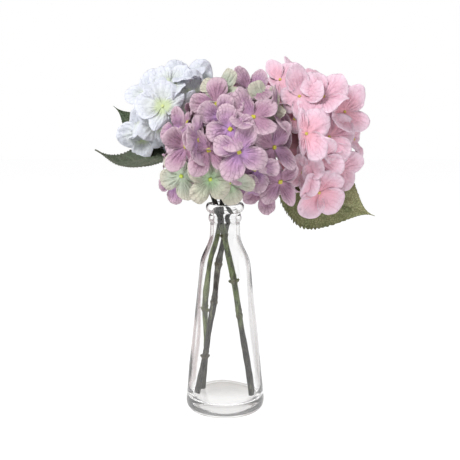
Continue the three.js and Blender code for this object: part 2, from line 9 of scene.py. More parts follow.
import bpy
import numpy as np
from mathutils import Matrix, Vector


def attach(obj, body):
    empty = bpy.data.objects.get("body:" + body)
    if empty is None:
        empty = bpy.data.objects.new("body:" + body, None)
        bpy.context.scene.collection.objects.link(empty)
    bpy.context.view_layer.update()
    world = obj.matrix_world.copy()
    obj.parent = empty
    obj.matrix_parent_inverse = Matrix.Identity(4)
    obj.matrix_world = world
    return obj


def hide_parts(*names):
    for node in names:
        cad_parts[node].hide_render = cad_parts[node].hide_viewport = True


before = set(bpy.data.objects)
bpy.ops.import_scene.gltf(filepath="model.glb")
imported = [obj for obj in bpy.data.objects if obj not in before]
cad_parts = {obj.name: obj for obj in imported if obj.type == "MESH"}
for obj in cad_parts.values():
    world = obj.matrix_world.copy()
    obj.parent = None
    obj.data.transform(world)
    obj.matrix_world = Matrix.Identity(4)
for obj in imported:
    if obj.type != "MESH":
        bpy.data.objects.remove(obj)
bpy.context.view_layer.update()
MM = 0.001

# ------------ camera, floor and light

FRAME_PX = 460
FOCAL_PX = 804
SENSOR_MM = 36
CAMERA_AT = (5, -800, 290)
CAMERA_PITCH = 7.5
SURROUND_SEEN = 1.0              # the surround's strength where it is seen, also through the glass
SURROUND_LIGHT = 0.42            # and as light
# The cards that the glass picks up: (a direction's x, red, green, blue), blended from one to the next.
CARDS = [
    (-1.0, 1.0, 1.0, 1.0),
    (-0.955, 1.0, 1.0, 1.0),
    (-0.92, 0.12, 0.09, 0.1),
    (-0.8, 0.3, 0.22, 0.23),
    (-0.4, 0.42, 0.32, 0.34),
    (-0.26, 1.0, 1.0, 1.0),
    (0.3, 1.0, 1.0, 1.0),
    (0.37, 0.25, 0.24, 0.24),
    (0.48, 1.0, 1.0, 1.0),
    (0.58, 1.0, 1.0, 1.0),
    (0.68, 0.22, 0.21, 0.21),
    (0.78, 0.9, 0.9, 0.9),
    (0.9, 0.12, 0.11, 0.11),
    (0.955, 1.0, 1.0, 1.0),
    (1.0, 1.0, 1.0, 1.0),
]
CARD_FADE = 1.6                  # how fast the cards end upwards and downwards
FLOOR_GLOW = 0.86
FLOOR_HALF = 6.0
FLOOR_DROP = 0.0005
# Each lamp's place and size in metres, and its power. Both are turned to the lit point.
LAMPS = {"key": ((-0.8, -1.1, 1.5), 0.7, 33), "fill": ((1.3, -1.0, 0.5), 1.0, 4)}
LIT_POINT = (0, 0, 0.25)

# ------------ the bottle's dimensions

BOTTLE_HEIGHT = 212
BASE_RADIUS = 31
HEEL_RADIUS = 40
SHOULDER_RADIUS = 26
SHOULDER_Z = 150
NECK_RADIUS = 15.1
NECK_Z = 184
BEAD_RADIUS = 16.6
BEAD_Z = 194
LIP_RADIUS = 19.6
LIP_Z = 203
WALL = 2.6
FLOOR_Z = 14
BOTTLE_SIDES = 128
CURVE_STEPS = 14
WAVE_DEPTH = 0.35                # the blown wall's waviness
WAVE_PHASES = (0.4, 2.1)         # outside and inside
GLASS_DENSITY = 3                # how much the glass darkens light, for each metre
GLASS_TINT = (0.46, 0.41, 0.39, 1)
# Heights in metres, each from and to, between which the glass's look changes: its painted dark edge, the
# painted shadow on its inner floor, the painted dark heel and its clear share near the base.
EDGE_SHADE_FROM = (0.016, 0.03)
FLOOR_SHADOW_FROM = (0.0125, 0.0138)
FLOOR_SHADOW_TO = (0.0144, 0.016)
HEEL_SHADE_TO = (0.004, 0.012)
CLEAR_TO = (0.006, 0.016)
CLEAR_SHARE = 0.15

# ------------ stems, leaves and florets

GAP = 0.3
FOOT_TILT = 0.6
STEM_RADIUS = 2.9
NODE_RADIUS = 3.8
NODE_SPAN = 0.016
STEM_SIDES = 20
STEM_ROWS = 260
BUD_RADII = (2.0, 1.7, 1.0)
NECK_LENGTH = 9
NECK_RADII = (5, 3.4)

LEAF_THICK = 0.5
LEAF_ROWS = 20                   # rows of the solid's sheet, which the petals keep off
TOOTH = 0.07                     # of the solid's sheet
SAW_DEPTH = 0.045                # of the dressed leaf's teeth
TOOTH_CURL = 1.5
LEAF_TEETH = 31
LEAF_VEINS = 8
LEAF_GRID = (216, 33)
MIDRIB_STEPS = 60
MIDRIB_RADII = (1.3, 1.1, 0.7, 0.35)  # of the leaf's stalk and the rib that it runs on as
HALF_SHADE = (0.62, 0.68, 0.6, 1)  # painted shade on the leaf's half behind its midrib, against the half in front

PETALS = 4
CLOTH = 0.35
SEE_THROUGH = 0.22               # the share of light that cloth lets through
PETAL_ROWS = 16
PETAL_COLUMNS = 37
CREASE_DEPTH = 0.95
CHANNEL_DEPTH = 1.1              # of the fold down a petal's middle
CRUMPLE = 0.55
RUFFLE = 1.7
CURL = 4.5
FAN_VEINS = 7
SIDE_VEINS = 6
SIDE_LEAN = 4
VEIN_WANDER = 6
ROOT_DEPTH = 4
STALK_RADII = (1.3, 1.0, 1.3, 2.1)
STALK_STRAIGHT = 7               # of the stalk's end, square to the floret
STALK_STEPS = 12
STALK_SIDES = 8
CORE_SIDES = 48
CORE_ROWS = 26
CORE_LUMP = 0.035
PEG_SIDES = 24
PEG_RADIUS = 2.6
PEG_HEIGHT = 1.5
PEG_PROFILE = ((0.7, -0.6), (0.96, 0), (1, 0.5), (0.93, 1), (0.7, 1.25), (0.35, 1.1))
SQUARENESS = 1.12
PALE_PEG = 0.85                  # the pale florets' pegs against their head's
WOBBLE = 0.6
LISTED_WOBBLE = 0.2
TILT = 0.36
PETAL_STRAY = (0.9, 0.16)
NECK_ANGLE = 0.72
KEEP_OFF = 13
SPIRAL = 160
GOLDEN_ANGLE = 2.399963
SQUASH_DEPTH = 14
PLANE_MARGIN = (1.2, 4)
FILL_MARGIN = 4
INNER_SHARE = 0.79               # the inner florets' place between a head's centre and its outside
INNER_PLACES = 44
INNER_MARGIN = 3
INNER_NECK = 1.15
INNER_REACH = 17

# A listed floret is (right, up, turn, reach, cup, lift, facing), as in the solids.
# A lobe is a round petal's middle and radius, as shares of its reach. Flex is how far petals bend up or
# down, wide how wide they are, and peg how large the pegs are. The moved florets are those that the
# solids cut away where a leaf passes: here they lie over the leaf, as the photograph shows.
MAUVE = {
    "name": "mauve",
    "node": "head_mauve",
    "flex": 0.5,
    "wide": 0.86,
    "peg": 1.0,
    "lobe": (0.585, 0.425),
    "centre": (1, -20, 272),
    "radius": 57,
    "core": 26,
    "seed": 1207,
    "spacing": 38,
    "pale": (19, 20, 21, 22, 23),
    "listed": [
        (11, -6, 68, 26, 0.1, 6, (0, -1, 0)),
        (-15, -5, 56, 25, 0.15, 1, (0, -1, 0)),
        (4, 13, 14, 23, 0.25, 2, (0, -0.95, 0.25)),
        (23, 22, 42, 26, 0.5, 5, (0, -0.75, 0.6)),
        (-23, 4, 85, 25, 0.25, 5, (0.9, -0.45, 0.1)),
        (-8, 35, 88, 26, 0.25, 1, (-0.1, -0.9, 0.35)),
        (42, -3, 55, 28, 0.3, 3, (0.5, -0.8, 0.1)),
        (46, 26, 55, 28, 0.35, 6, (0.6, -0.65, 0.4)),
        (42, -29, 45, 25, 0.3, 12, (0.2, -0.9, -0.2)),
        (27, -23, 15, 23, 0.3, -1, (0.1, -0.9, -0.3)),
        (36, -42, 10, 25, 0.3, 4, (0.3, -0.8, -0.5)),
        (24, 50, 45, 24, 0.5, 1, (0.1, -0.75, 0.6)),
        (-53, -43, 80, 22, 0.3, 8, (-0.4, -0.85, -0.3)),
        (23, -42, 20, 23, 0.3, 0, (0, -0.5, -0.85)),
        (-44, 10, 85, 23, 0.3, 1, (-0.45, -0.8, 0.2)),
        (-34, -2, 55, 24, 0.4, 3, (-0.3, -0.9, 0)),
        (-56, -9, 60, 22, 0.35, 0, (-0.9, -0.35, 0.05)),
        (-52, -23, 80, 21, 0.35, 0, (-0.9, -0.3, -0.3)),
        (-4, 24, 72, 23, 0.25, -1, (-0.05, -1, 0.2)),
        (-40, -29, 15, 25, 0.2, 2, (-0.35, -0.9, -0.1)),
        (-13, -29, 52, 25, 0.15, 5, (0.3, -0.95, -0.1)),
        (3, -37, 12, 25, 0.2, -2, (0, -0.9, -0.35)),
        (-4, 49, 60, 22, 0.4, -1, (0, -0.75, 0.6)),
        (38, 37, 35, 25, 0.4, 0, (0.1, -0.8, 0.5)),
        (53, 4, 10, 24, 0.2, 0, (0.3, -0.95, 0)),
    ],
}
PINK = {
    "name": "pink",
    "node": "head_pink",
    "moved": {8: (-2, -10, 1), 12: (0, -6, 0)},
    "flex": 0.45,
    "wide": 1.0,
    "peg": 0.7,
    "lobe": (0.56, 0.45),
    "centre": (72, 20, 281),
    "radius": 58,
    "core": 26,
    "seed": 733,
    "spacing": 37,
    "pale": (),
    "listed": [
        (2, 0, 38, 28, 0.25, 8, (0.35, -0.9, 0)),
        (20, 32, 40, 29, 0.4, 5, (0.1, -0.75, 0.65)),
        (-1, 35, 15, 27, 0.4, 0, (-0.1, -0.85, 0.4)),
        (-18, 50, 45, 26, 0.35, 2, (-0.15, -0.7, 0.65)),
        (9, 57, 70, 26, 0.5, 1, (0.1, -0.4, 0.9)),
        (27, -3, 30, 30, 0.25, 0, (0.35, -0.9, 0)),
        (42, 20, 50, 27, 0.4, 2, (0.45, -0.75, 0.4)),
        (57, -6, 40, 24, 0.4, 0, (0.95, -0.25, 0.1)),
        (41, -34, 30, 25, 0.3, 2, (0.4, -0.85, -0.2)),
        (16, -46, 57, 29, 0.25, 14, (0.1, -0.9, -0.3)),
        (17, -24, 70, 26, 0.3, 1, (0, -0.9, -0.3)),
        (3, -37, 30, 24, 0.3, 0, (-0.2, -0.85, -0.4)),
        (34, -45, 20, 24, 0.3, 2, (0.4, -0.7, -0.5)),
    ],
}
WHITE = {
    "name": "white",
    "node": "head_white",
    "flex": -0.1,
    "wide": 0.96,
    "peg": 0.7,
    "lobe": (0.56, 0.45),
    "centre": (-50, 22, 300),
    "radius": 36,
    "core": 18,
    "seed": 419,
    "spacing": 34,
    "pale": (),
    "listed": [
        (-8, 6, 88, 28, 0.2, 7, (0, -0.9, 0.4)),
        (-23, 19, 5, 27, 0.3, 2, (-0.35, -0.75, 0.5)),
        (-30, -19, 0, 27, 0.4, 4, (-0.4, -0.9, -0.1)),
        (-26, -27, 40, 25, 0.3, 3, (-0.1, -0.45, -0.9)),
        (11, -2, 50, 26, 0.25, 1, (0.15, -1, 0)),
        (20, 17, 95, 27, 0.35, 2, (0.3, -0.85, 0.4)),
        (5, 34, 30, 26, 0.5, 3, (0, -0.55, 0.85)),
        (21, 29, 60, 28, 0.75, 4, (0.2, -0.5, 0.85)),
        (-35, -3, 20, 23, 0.3, 1, (-0.85, -0.45, 0.2)),
        (-15, -8, 40, 25, 0.25, -1, (-0.1, -0.95, -0.2)),
        (-5, 27, 45, 26, 0.3, 2, (-0.1, -0.7, 0.7)),
    ],
}

PRESSED = [
    {"heads": ("mauve", "pink"), "point": (41, 0, 276), "way": (0.87, 0.48, 0.1)},
    {"heads": ("mauve", "white"), "point": (-31, 3, 287), "way": (-0.73, 0.55, 0.4)},
]

STEMS = [
    {
        "name": "white",
        "head": WHITE,
        "route": [(27.4, -10.3, 0), (24.5, -10, 36), (18.5, -9, 76), (15, -8.5, 98), (9, -8, 132),
                  (3.5, -7, 158), (0, -6.8, 176), (-3.5, -6.4, 194), (-9.5, -5, 212), (-20, 5, 240)],
        "nodes": (0.31, 0.44, 0.61),
    },
    {
        "name": "mauve",
        "head": MAUVE,
        "route": [(-24, 16.5, 0), (-22.5, 14, 50), (-21, 10, 90), (-19, 7, 118), (-15, 4, 148),
                  (-8.4, 1.5, 176), (-5, 1.2, 194), (-3, 1, 212), (-3, -2, 228)],
        "nodes": (0.38, 0.9),
    },
    {
        "name": "pink",
        "head": PINK,
        "route": [(-29.2, -3, 0), (-24, -5, 40), (-17.3, -5, 78), (-11.5, -2, 110), (-7.2, 3, 140),
                  (-3.6, 7, 162), (1, 8, 186), (5.6, 7.4, 206), (14, 6, 222), (29, 10, 240)],
        "nodes": (0.16, 0.375, 0.52),
    },
]

LEAVES = [
    {
        "name": "left",
        "node": "leaf_left",
        "stalk": (-31, 11, 262),
        "midrib": [(-46, 14, 260), (-75, 8, 256), (-106, 3, 253), (-129, 0, 265)],
        "side": (0, -0.93, -0.3),
        "half": 30,
        "fold": 0.15,
    },
    {
        "name": "left_back",
        "node": "leaf_left_back",
        "stalk": (-33, 13, 266),
        "midrib": [(-58, 50, 264), (-80, 58, 278), (-100, 60, 294), (-118, 58, 309)],
        "side": (-0.72, 0, -0.69),
        "half": 19,
        "fold": 0.2,
    },
    {
        "name": "right",
        "node": "leaf_right",
        "stalk": (33, 11, 243),
        "midrib": [(60, 15, 243), (88, 11, 228), (120, 4, 210), (150, -2, 199)],
        "side": (0.42, -0.2, 0.88),
        "half": 41,
        "fold": 0.12,
    },
]

# ------------ small tools


def vec(values):
    return np.array(values, float)


def unit(vector):
    return vector / np.linalg.norm(vector, axis=-1, keepdims=True)


def smooth(low, high, values):
    t = np.clip((np.asarray(values, float) - low) / (high - low), 0, 1)
    return t * t * (3 - 2 * t)


def stream(seed):
    """A repeatable stream of numbers from 0 to 1, the same as the solids'."""
    state = seed
    while True:
        state = (state * 16807) % 2147483647
        yield state / 2147483647


def add_object(name, data):
    made = bpy.data.objects.new(name, data)
    bpy.context.scene.collection.objects.link(made)
    return made


class Route:
    """A smooth curve through points, spaced as the solids' curves are."""

    DIVISIONS = 200

    def __init__(self, points):
        self.points = [vec(p) for p in points]
        samples = [self.at(i / self.DIVISIONS) for i in range(self.DIVISIONS + 1)]
        steps = [np.linalg.norm(b - a) for a, b in zip(samples, samples[1:])]
        self.lengths = np.concatenate([[0], np.cumsum(steps)])

    def at(self, t):
        points, last = self.points, len(self.points) - 1
        step = min(int(last * t), last - 1)
        share = last * t - step
        p1, p2 = points[step], points[step + 1]
        p0 = points[step - 1] if step > 0 else 2 * points[0] - points[1]
        p3 = points[step + 2] if step + 2 <= last else 2 * points[last] - points[last - 1]
        d0, d1, d2 = (np.linalg.norm(b - a) ** 0.5 for a, b in ((p0, p1), (p1, p2), (p2, p3)))
        out = ((p1 - p0) / d0 - (p2 - p0) / (d0 + d1) + (p2 - p1) / d1) * d1
        into = ((p2 - p1) / d1 - (p3 - p1) / (d1 + d2) + (p3 - p2) / d2) * d1
        bend = -3 * p1 + 3 * p2 - 2 * out - into
        twist = 2 * p1 - 2 * p2 + out + into
        return p1 + out * share + bend * share**2 + twist * share**3

    def tangent(self, t):
        return unit(self.at(min(t + 1e-4, 1)) - self.at(max(t - 1e-4, 0)))

    def share_at(self, u):
        """The curve's own share t at a share u of its length."""
        return float(np.interp(u * self.lengths[-1], self.lengths, np.linspace(0, 1, self.DIVISIONS + 1)))

    def spaced(self, count):
        return [self.at(self.share_at(i / count)) for i in range(count + 1)]


class Shape:
    """Vertices, faces and numbers at each vertex, gathered piece by piece."""

    def __init__(self):
        self.points = []
        self.faces = []
        self.numbers = {}
        self.count = 0

    def add(self, points, faces, **numbers):
        points = np.asarray(points, float).reshape(-1, 3)
        self.points.append(points)
        self.faces.extend([tuple(int(i) + self.count for i in face) for face in faces])
        for name, values in numbers.items():
            full = np.broadcast_to(np.asarray(values, float), (len(points), 3))
            self.numbers.setdefault(name, []).append(full)
        self.count += len(points)

    def piece(self, name, material, slot, replaces=(), thick=0.0):
        """The gathered shape as an object that rides on the part's body."""
        mesh = bpy.data.meshes.new(name)
        mesh.from_pydata((np.concatenate(self.points) * MM).tolist(), [], self.faces)
        for key, lists in self.numbers.items():
            attribute = mesh.attributes.new(key, "FLOAT_VECTOR", "POINT")
            attribute.data.foreach_set("vector", np.concatenate(lists).astype(np.float32).ravel())
        mesh.polygons.foreach_set("use_smooth", [True] * len(mesh.polygons))
        mesh.materials.append(material)
        mesh.validate()
        piece = add_object(name, mesh)
        if thick:
            shell = piece.modifiers.new("cloth", "SOLIDIFY")
            shell.thickness = thick * MM
            shell.offset = 0
        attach(piece, "root")
        if replaces:
            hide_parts(*replaces)
        return piece


def grid_faces(rows, columns, closed=False):
    """The four-sided faces of a grid of points, closed round its columns for a tube."""
    faces = []
    for row in range(rows - 1):
        for column in range(columns if closed else columns - 1):
            after = (column + 1) % columns
            a, b = row * columns + column, row * columns + after
            faces.append((a, b, b + columns, a + columns))
    return faces


def turned(angles, across, along):
    """The directions at some angles, in the plane of two directions."""
    return np.outer(np.cos(angles), across) + np.outer(np.sin(angles), along)


def sides_of(way):
    """Two directions square to a way and to each other."""
    over = vec((0, 1, 0)) if abs(way[2]) > 0.9 else vec((0, 0, 1))
    across = unit(np.cross(over, way))
    return across, np.cross(way, across)


def tube_rings(points, radii, sides):
    """Rings of points along a line of points, without twist."""
    ways = unit(np.gradient(np.array(points), axis=0))
    across, _ = sides_of(ways[0])
    angles = 2 * np.pi * np.arange(sides) / sides
    rings = []
    for point, way, radius in zip(points, ways, radii):
        across = unit(across - way * np.dot(across, way))
        rings.append(point + radius * turned(angles, across, np.cross(way, across)))
    return rings


def add_rings(shape, rings, **numbers):
    """A closed skin over rings of points, with its two ends capped."""
    sides = len(rings[0])
    last = (len(rings) - 1) * sides
    faces = grid_faces(len(rings), sides, closed=True)
    faces += [tuple(range(sides))[::-1], tuple(last + i for i in range(sides))]
    shape.add(np.concatenate(rings), faces, **numbers)


def add_tube(shape, points, radii, sides, **numbers):
    add_rings(shape, tube_rings(points, radii, sides), **numbers)


# ------------ materials


class Nodes:
    """A node tree whose nodes are added and joined in short lines."""

    def __init__(self, tree):
        self.tree = tree

    def put(self, socket, value):
        """Joins another node's socket to this one, or sets its value."""
        if isinstance(value, bpy.types.NodeSocket):
            self.tree.links.new(value, socket)
        else:
            socket.default_value = value

    def node(self, kind, values=None, **settings):
        made = self.tree.nodes.new("ShaderNode" + kind)
        for key, value in settings.items():
            setattr(made, key, value)
        for key, value in (values or {}).items():
            self.put(made.inputs[key], value)
        return made

    def math(self, operation, a, b=0.0, clamp=False):
        return self.node("Math", {0: a, 1: b}, operation=operation, use_clamp=clamp).outputs[0]

    def times(self, a, b):
        return self.math("MULTIPLY", a, b)

    def total(self, *terms):
        """The sum of values, each with its weight."""
        whole, *others = [self.times(value, weight) for value, weight in terms]
        for part in others:
            whole = self.math("ADD", whole, part)
        return whole

    def mix(self, share, a, b, blend="MIX"):
        values = {0: share, 6: a, 7: b}
        return self.node("Mix", values, data_type="RGBA", blend_type=blend).outputs[2]

    def dim(self, share, colour, by):
        """A colour, by a share multiplied with another."""
        return self.mix(share, colour, self.mix(1.0, colour, by, "MULTIPLY"))

    def place(self):
        return self.node("TexCoord").outputs["Object"]

    def range(self, value, low, high, out_low=0.0, out_high=1.0):
        values = {0: value, 1: low, 2: high, 3: out_low, 4: out_high}
        return self.node("MapRange", values, interpolation_type="SMOOTHSTEP").outputs[0]

    def noise(self, scale, detail=3.0, where=None):
        values = {"Vector": where or self.place(), "Scale": scale, "Detail": detail}
        return self.node("TexNoise", values).outputs[0]

    def bump(self, height, strength, distance):
        values = {"Height": height, "Strength": strength, "Distance": distance}
        return self.node("Bump", values).outputs[0]


class Look(Nodes):
    """A material, with its shader and its output at hand."""

    def __init__(self, name):
        self.material = bpy.data.materials.new(name)
        self.material.use_nodes = True
        super().__init__(self.material.node_tree)
        self.shader = self.tree.nodes["Principled BSDF"]
        self.output = self.tree.nodes["Material Output"]

    def set(self, values):
        """Joins or sets the shader's sockets, by name."""
        for name, value in values.items():
            self.put(self.shader.inputs[name], value)

    def numbers(self, name):
        """The three numbers that a piece keeps at each vertex under this name."""
        source = self.node("Attribute", attribute_name=name)
        return self.node("SeparateXYZ", {0: source.outputs["Vector"]}).outputs[:3]

    def blend(self, share, other):
        """Mixes another node's light into the surface by a share."""
        both = self.node("MixShader", {0: share, 1: self.shader.outputs[0], 2: other.outputs[0]})
        self.put(self.output.inputs["Surface"], both.outputs[0])

    def let_light_through(self, colour, normal):
        self.blend(SEE_THROUGH, self.node("BsdfTranslucent", {"Color": colour, "Normal": normal}))


def rgb(red, green, blue):
    """A colour read off the photograph, 0 to 255, as a shader's colour."""
    def linear(value):
        share = value / 255
        return share / 12.92 if share <= 0.04045 else ((share + 0.055) / 1.055) ** 2.4
    return (linear(red), linear(green), linear(blue), 1)


def vein_pattern(look, across, along):
    """Veins that fan out from a petal's foot, with slanting side veins, strong in some places."""
    wander = look.times(look.noise(140.0), VEIN_WANDER)
    fan = look.math("ADD", look.times(across, math.pi * FAN_VEINS), wander)
    vein = look.range(look.math("ABSOLUTE", look.math("SINE", fan)), 0.0, 0.4, 1.0, 0.0)
    lean = look.times(look.math("ABSOLUTE", across), math.pi * SIDE_LEAN)
    slant = look.math("SUBTRACT", look.times(along, math.pi * SIDE_VEINS), lean)
    branch = look.math("ABSOLUTE", look.math("SINE", look.math("ADD", slant, wander)))
    branch = look.range(branch, 0.0, 0.35, 0.6, 0.0)
    crease = look.times(look.math("MAXIMUM", vein, branch), look.range(along, 0.12, 0.4))
    return look.times(crease, look.range(look.noise(90.0, 2.0), 0.35, 0.6, 0.25, 1.0))


def cloth_look(name, heart, inner, outer, rim, second, crease_shade, crease_shade_and_relief):
    """Pressed cloth petals: tinted hearts, pale rims, fanned veins with painted shade in their creases, a
    fine weave, light let through.
    """
    look = Look(name)
    share, edge, petal = look.numbers("petal")
    across, along, floret = look.numbers("floret")
    blotch = look.noise(70.0)
    spot = look.math("ADD", share, look.times(look.math("SUBTRACT", blotch, 0.5), 0.5))
    colour = look.mix(look.range(spot, 0.1, 0.45), heart, inner)
    colour = look.mix(look.range(spot, 0.4, 1.0), colour, outer)
    stray = look.total((petal, 0.4), (floret, 0.6), (blotch, 0.6))
    colour = look.mix(look.range(stray, 0.55, 1.1), colour, second)
    colour = look.mix(look.range(edge, 0.5, 1.05, 0.0, 0.85), colour, rim)
    crease = vein_pattern(look, across, along)
    # Painted shade: the vein creases are darkened towards a shade colour, by the same weight that deepens
    # their bump.
    colour = look.dim(look.times(crease, crease_shade_and_relief), colour, crease_shade)
    weave, crumple = look.noise(2200.0, 2.0), look.noise(330.0, 4.0)
    relief = look.total((crease, -0.5), (weave, 0.15), (crumple, 1.2))
    normal = look.bump(relief, 0.4 + 0.6 * crease_shade_and_relief, 0.0014)
    look.set({"Base Color": colour, "Normal": normal, "Roughness": 0.78, "Specular IOR Level": 0.2,
              "Sheen Weight": 0.15, "Sheen Roughness": 0.5})
    look.let_light_through(colour, normal)
    return look.material


def plain_look(name, colour, second, roughness, scale):
    """Moulded plastic, mottled between two colours."""
    look = Look(name)
    mottled = look.mix(look.range(look.noise(scale, 4.0), 0.35, 0.65), colour, second)
    grain = look.bump(look.noise(scale * 6), 0.3, 0.0003)
    look.set({"Base Color": mottled, "Normal": grain, "Roughness": roughness})
    return look.material


def stem_look(name, foot, body, top_shade, foot_at, top_shade_at):
    """A moulded stem: brown at its foot, green or grey above, with painted shade from the bottle's mouth up
    under the flowers, and barky mottles.
    """
    look = Look(name)
    height, knob, _ = look.numbers("stem")
    stretched = look.node("Mapping", {0: look.place(), 3: (1, 1, 0.3)}).outputs[0]
    blotch = look.noise(320.0, 5.0, stretched)
    level = look.math("ADD", height, look.times(blotch, 0.05))
    colour = look.mix(look.range(level, foot_at, foot_at + 0.06), foot, body)
    # Painted shade: the stem darkens from the bottle's mouth up under the flowers.
    colour = look.mix(look.range(level, top_shade_at, top_shade_at + 0.03), colour, top_shade)
    colour = look.dim(look.range(blotch, 0.45, 0.6, 0.0, 0.85), colour, rgb(128, 116, 104))
    colour = look.mix(look.range(blotch, 0.32, 0.44, 0.35, 0.0), colour, rgb(150, 152, 120))
    colour = look.mix(look.times(knob, 0.55), colour, rgb(84, 74, 48))
    bark = look.total((blotch, 2.0), (look.noise(900.0, 4.0), 1.0))
    look.set({"Base Color": colour, "Normal": look.bump(bark, 1.0, 0.0014), "Roughness": 0.6})
    return look.material


def leaf_look(name, face, second, vein):
    """A cloth leaf: mottled, with a fine net, paler veins, painted shade on its far half and a browned edge.
    """
    look = Look(name)
    across, _, rib = look.numbers("leaf")
    colour = look.mix(look.range(look.noise(90.0, 5.0), 0.35, 0.65), face, second)
    # Painted shade on the leaf's half behind its midrib.
    colour = look.dim(look.range(across, -0.03, 0.03, 0.55, 0.0), colour, HALF_SHADE)
    values = {"Vector": look.place(), "Scale": 420.0}
    cells = look.node("TexVoronoi", values, feature="DISTANCE_TO_EDGE")
    net = look.range(cells.outputs["Distance"], 0.0, 0.16, 1.0, 0.0)
    colour = look.dim(look.times(net, 0.6), colour, rgb(186, 180, 160))
    colour = look.mix(look.times(rib, 0.55), colour, vein)
    brown = look.range(look.math("ABSOLUTE", across), 0.9, 1.0, 0.0, 0.3)
    colour = look.mix(brown, colour, rgb(110, 100, 80))
    normal = look.bump(look.total((look.noise(500.0, 4.0), 1.5), (net, -1.0)), 0.8, 0.0009)
    look.set({"Base Color": colour, "Normal": normal, "Roughness": 0.72, "Specular IOR Level": 0.3})
    look.let_light_through(colour, normal)
    return look.material


def glass_look():
    """Clear blown glass with a trace of tint, and painted reflections and shade: darker where the eye meets
    its wall at a low angle, darker and pinker on the left, a painted shadow on its inner floor and a painted
    dark heel.
    """
    look = Look("clear_glass")
    facing = look.node("LayerWeight", {"Blend": 0.5}).outputs["Facing"]
    across, deep, height = look.node("SeparateXYZ", {0: look.place()}).outputs
    # Painted reflection: the wall darkens where it is seen at a low angle, darker and pinker on the left
    # side.
    tone = look.mix(look.range(across, -0.01, 0.01), rgb(136, 118, 118), rgb(182, 177, 177))
    wall = look.times(look.range(facing, 0.47, 0.62), look.range(height, *EDGE_SHADE_FROM))
    colour = look.mix(wall, rgb(254, 254, 254), tone)
    # Painted shadow on the inner floor, stronger towards the back.
    floor = look.times(look.range(height, *FLOOR_SHADOW_FROM), look.range(height, *FLOOR_SHADOW_TO, 1.0, 0.0))
    floor = look.times(floor, look.range(deep, -0.03, 0.03, 0.3, 1.0))
    colour = look.mix(floor, colour, rgb(146, 141, 136))
    # Painted shade: the heel darkens where it is seen at a low angle.
    heel = look.times(look.range(facing, 0.55, 0.9), look.range(height, *HEEL_SHADE_TO, 1.0, 0.0))
    colour = look.mix(heel, colour, rgb(112, 108, 104))
    ripple = look.bump(look.noise(28.0, 1.0), 0.06, 0.004)
    look.set({"Base Color": colour, "Normal": ripple, "Transmission Weight": 1.0, "Roughness": 0.0,
              "IOR": 1.5, "Specular IOR Level": 0.2})
    tint = look.node("VolumeAbsorption", {"Color": GLASS_TINT, "Density": GLASS_DENSITY})
    look.put(look.output.inputs["Volume"], tint.outputs[0])
    clear = look.node("BsdfTransparent", {"Color": (1, 1, 1, 1)})
    look.blend(look.range(height, *CLEAR_TO, CLEAR_SHARE, 0.0), clear)
    return look.material


# ------------ the bottle


def bezier(points, steps=CURVE_STEPS):
    """Points along a quadratic or cubic curve, its first point left out."""
    points = [vec(p) for p in points]
    made = []
    for i in range(1, steps + 1):
        level, t = points, i / steps
        while len(level) > 1:
            level = [a + (b - a) * t for a, b in zip(level, level[1:])]
        made.append(level[0])
    return made


def straight(start, end, steps=CURVE_STEPS):
    return [vec(start) + (vec(end) - vec(start)) * i / steps for i in range(1, steps + 1)]


def bottle_outside():
    heel = [(BASE_RADIUS, 0), (HEEL_RADIUS - 0.5, 0.8), (HEEL_RADIUS, 11)]
    low = [heel[-1], (HEEL_RADIUS - 1.4, 24), (HEEL_RADIUS - 3.1, 40)]
    shoulder = [(SHOULDER_RADIUS, SHOULDER_Z), (SHOULDER_RADIUS - 1.6, SHOULDER_Z + 13),
                (NECK_RADIUS, NECK_Z - 15), (NECK_RADIUS, NECK_Z)]
    bead = [(NECK_RADIUS, BEAD_Z - 1), (BEAD_RADIUS + 0.4, BEAD_Z + 0.5), (BEAD_RADIUS, BEAD_Z + 4)]
    dip = (NECK_RADIUS + 0.6, LIP_Z - 0.5)
    lip = [dip, (LIP_RADIUS - 0.5, LIP_Z), (LIP_RADIUS + 1, BOTTLE_HEIGHT - 3),
           (LIP_RADIUS - 2, BOTTLE_HEIGHT)]
    return [vec((0, 0)), *straight((0, 0), heel[0], 6), *bezier(heel), *bezier(low),
            *straight(low[-1], shoulder[0], 40), *bezier(shoulder), *straight(shoulder[-1], bead[0], 3),
            *bezier(bead), *bezier([bead[-1], (NECK_RADIUS + 0.4, LIP_Z - 2), dip]), *bezier(lip)]


def bottle_inside():
    neck, shoulder, heel = NECK_RADIUS - WALL, SHOULDER_RADIUS - WALL, HEEL_RADIUS - WALL
    mouth = [(LIP_RADIUS - 2, BOTTLE_HEIGHT), (neck + 0.6, BOTTLE_HEIGHT - 0.3), (neck, LIP_Z)]
    slope = [(neck, NECK_Z), (neck, NECK_Z - 15), (shoulder - 1.6, SHOULDER_Z + 13), (shoulder, SHOULDER_Z)]
    floor = [(heel - 1.8, FLOOR_Z + 10), (heel - 2.1, FLOOR_Z), (HEEL_RADIUS - 7.5, FLOOR_Z)]
    return [*bezier(mouth), *straight(mouth[-1], slope[0], 8), *bezier(slope),
            *straight(slope[-1], floor[0], 40), *bezier(floor), *straight(floor[-1], (0, FLOOR_Z), 8)]


def wall_wave(radius, height, angle, phase):
    """The slight waviness of a hand-blown wall, none at the base and the mouth."""
    body = smooth(14, 45, height) * (1 - smooth(SHOULDER_Z + 8, NECK_Z, height)) * smooth(10, 20, radius)
    slow = np.sin(2 * angle + height / 34 + phase) + 0.6 * np.sin(3 * angle - height / 21 + 2 * phase)
    quick = 0.35 * np.sin(5 * angle + height / 11 + 3 * phase)
    return WAVE_DEPTH * body * (slow + quick) * (1 if phase == WAVE_PHASES[0] else 0.5)


